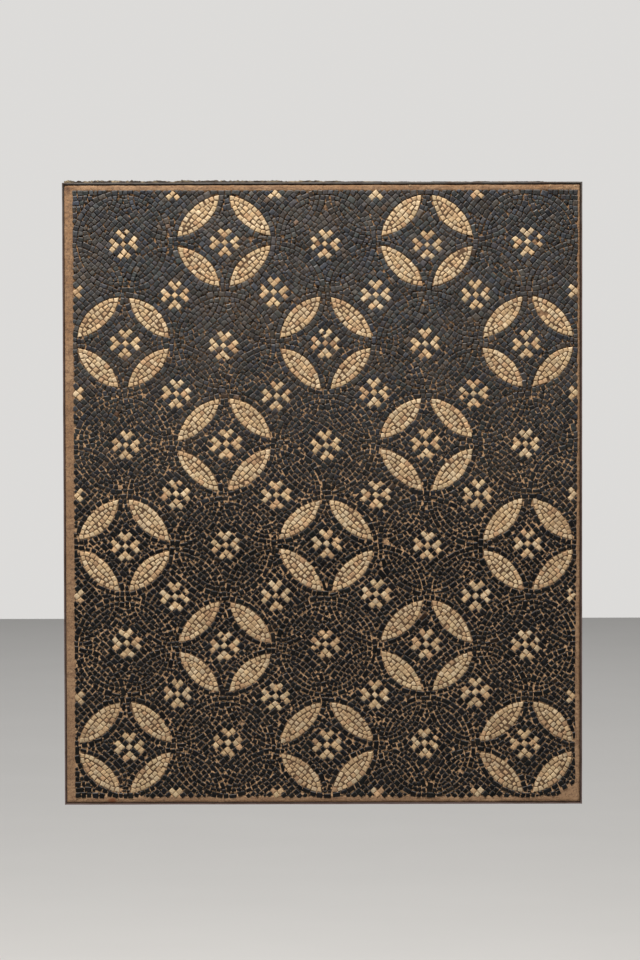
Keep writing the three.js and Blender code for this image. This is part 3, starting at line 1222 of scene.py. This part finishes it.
# Crumbs of mortar along the top bar, and chips of ivory stone in the margins
crumbWork = {
    "seed": 19,
    "count": 620,
    "crustStep": 2.0,
    "crustRows": 8,
    "crustHeight": 2.7,
    "crustFade": (-83.0, 150.0, 430.0),  # it thins between the first two places and ends at the third
    "lumpRadius": 1.0,
    "scale": (0.7, 2.4),
    "chips": ((170, 7.5, 2.4), (442, 6.8, 2.4), (490.5, 6.8, 2.4), (-403, -2.5, 1.5)),
    "chipDepth": 0.8,           # how deep a chip's middle lies behind the margins' face
    "chipSeed": 5,
}


def crumbTree():
    tree, given = newGeometryTree("lumpsOnPoints", ("Lump Radius",))
    lump = addNode(tree, "GeometryNodeMeshIcoSphere", {"Radius": given["Lump Radius"], "Subdivisions": 1})
    seed = {"Seed": given["Seed"]}
    turn = chance(tree, "FLOAT_VECTOR", {0: (0.0, 0.0, 0.0), 1: (6.2, 6.2, 6.2)}, seed)
    shape = chance(tree, "FLOAT_VECTOR", {0: (0.7, 0.7, 0.6), 1: (1.5, 1.1, 1.0)}, seed)
    scale = scaled(tree, shape, stored(tree, "size", "FLOAT"))
    values = {"Points": given["Geometry"], "Instance": lump, "Rotation": turn, "Scale": scale}
    laid = addNode(tree, "GeometryNodeInstanceOnPoints", values)
    return finishGeometryTree(tree, laid, given["Material"])


def crustShareAt(x):
    *fade, end = crumbWork["crustFade"]
    return 1 - 0.7 * shareOfWay(x, fade) if x < end else 0.1


# A thin broken crust of old mortar on the top bar, closed all round
def buildCrust():
    low, high = (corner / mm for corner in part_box("frame_bar_top"))
    columns = round((high.x - low.x) / crumbWork["crustStep"])
    rows = crumbWork["crustRows"]
    depths = [low.y + 1.2 + (high.y - low.y - 3) * j / (rows - 1) for j in range(rows)]
    points = []
    for k in range(columns + 1):
        x = low.x + 0.5 + (high.x - low.x - 1) * k / columns
        for y in depths:
            spot = Vector((x, y, 0))
            rise = 0.9 + 1.1 * noise.noise(spot / 28.0) + 1.3 * noise.noise(spot / 4.5 + Vector((0, 0, 9)))
            points.append((x, y, high.z + crumbWork["crustHeight"] * crustShareAt(x) * max(0.12, rise)))
        points += [(x, depths[-1], high.z + 0.02), (x, depths[0], high.z + 0.02)]
    piece = pieceFromPoints("mortar_crust", points, tubeFaces(columns, len(depths) + 2), "crumb")
    outward(piece)
    return piece


# Lumps at points, which are given with their sizes
def buildLumps(name, spots, tree, seed, finish):
    piece = pieceFromPoints(name, [spot[:3] for spot in spots], [], None)
    storeValues(piece.data, "size", "FLOAT", "POINT", [size for *_, size in spots])
    radius = crumbWork["lumpRadius"] * mm
    return grown(piece, tree, {"Lump Radius": radius, "Seed": seed, "Material": materials[finish]}, name)


def buildCrumbs():
    tree = crumbTree()
    dice = random.Random(crumbWork["seed"])
    barLow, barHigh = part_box("frame_bar_top")
    barTop = barHigh.z / mm
    lowest, highest = crumbWork["scale"]
    spots = []
    while len(spots) < crumbWork["count"]:
        x = dice.uniform(barLow.x, barHigh.x) / mm
        crowd = noise.noise(Vector((x / 34.0, 2.5, 0))) + 0.5 * noise.noise(Vector((x / 9.0, 7.5, 0)))
        if x < crumbWork["crustFade"][2] and dice.random() < 0.28 + crowd * 1.4:
            size = lowest + (highest - lowest) * crustShareAt(x) * dice.random() ** 2
            spots.append((x, stoneFace + 2.5 + dice.random() ** 1.6 * 30, barTop + size * 0.5, size))
    crumbs = buildLumps("mortar_crumbs", spots, tree, crumbWork["seed"], "crumb")
    spots = []
    for x, fromEdge, size in crumbWork["chips"]:
        z = fieldTop + fromEdge if fromEdge > 0 else fieldBottom + fromEdge
        spots.append((x, bedFace + crumbWork["chipDepth"], z, size))
    return crumbs, buildLumps("ivory_chips", spots, tree, crumbWork["chipSeed"], "ivory")


crumbPiece, chipPiece = buildCrumbs()
crustPiece = buildCrust()
print("crumbs laid")


# Bodies and replaced nodes
for piece in (*stonePieces.values(), slabPiece, *barPieces.values(), crumbPiece, chipPiece, crustPiece):
    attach(piece, "root")
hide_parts("ivory_tesserae")
for part in ("upper", "middle", "lower"):
    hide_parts("dark_tesserae")
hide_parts("mortar_bed")
for node, bar in barPieces.items():
    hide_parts(node)

# Studio: the photograph's viewing angle, a pale floor and soft light from above
studio = {
    "distance": 9.0,
    "elevation": 3.0,
    "photoScale": 1.9458,    # millimetres of panel for each pixel of the 640 by 960 picture
    "photoHeight": 960,
    "centreOffset": (2.8, 14.3),  # where the panel's centre lies from the picture's, in pixels
    "roll": 0.13,
    "floorDrop": 0.75,
    "background": 0.72,      # how bright the room looks
    "ambience": 0.08,        # how much it lights the panel
    "lights": (  # name, place, target, size, power and colour
        ("key", (-0.95, -1.5, 4.1), (0, 0, -0.05), (0.8, 0.5), 325, (1.0, 0.965, 0.92)),
        ("floorLight", (0, 8.0, 7.0), (0, 9.0, -1.3), (12, 12), 520, (1.0, 0.985, 0.965)),
    ),
}


def buildCamera():
    data = bpy.data.cameras.new("camera")
    camera = newPiece("camera", data)
    seen = studio["photoHeight"] * studio["photoScale"] * mm
    data.sensor_width = 36.0
    data.lens = data.sensor_width * studio["distance"] / seen
    rise = math.radians(studio["elevation"])
    front = Vector((0, stoneFace * mm, 0))
    offsetX, offsetY = (pixels * studio["photoScale"] * mm for pixels in studio["centreOffset"])
    camera.location = front + Vector((0, -math.cos(rise), math.sin(rise))) * studio["distance"]
    aim = front + Vector((-offsetX, 0, offsetY)) - camera.location
    camera.rotation_euler = aim.to_track_quat("-Z", "Y").to_euler()
    camera.rotation_euler.rotate_axis("Z", math.radians(-studio["roll"]))
    bpy.context.scene.camera = camera


def areaLight(name, place, target, size, power, color):
    data = bpy.data.lights.new(name, "AREA")
    data.shape = "RECTANGLE"
    data.size, data.size_y = size
    data.energy = power
    data.color = color
    light = newPiece(name, data)
    light.location = place
    light.rotation_euler = (Vector(target) - Vector(place)).to_track_quat("-Z", "Y").to_euler()


def buildStudio():
    reach, level = 14.0, cadLow.z - studio["floorDrop"]
    corners = [(x * reach / mm, y * reach / mm, level / mm) for x, y in ((-1, -1), (1, -1), (1, 1), (-1, 1))]
    material, tree, shader = newMaterial("floor")
    cloud = noiseOf(tree, coordinateOf(tree), 1.5, 2.0)
    paint(tree, shader, mix(tree, cloud, (0.74, 0.735, 0.725), (0.78, 0.775, 0.765)), 0.8)
    floor = pieceFromPoints("floor", corners, [(0, 1, 2, 3)], None)
    floor.data.materials.append(material)
    world = bpy.data.worlds.new("studio")
    bpy.context.scene.world = world
    world.use_nodes = True
    tree = world.node_tree
    background = tree.nodes["Background"]
    background.inputs["Color"].default_value = (1.0, 0.985, 0.965, 1)
    path = addNode(tree, "ShaderNodeLightPath").outputs["Is Camera Ray"]
    seen = span(tree, path, 0.0, 1.0, studio["ambience"], studio["background"])
    connect(tree, seen, background.inputs["Strength"])
    for light in studio["lights"]:
        areaLight(*light)
    bpy.context.scene.view_settings.view_transform = "Standard"


buildCamera()
buildStudio()
print("studio ready")
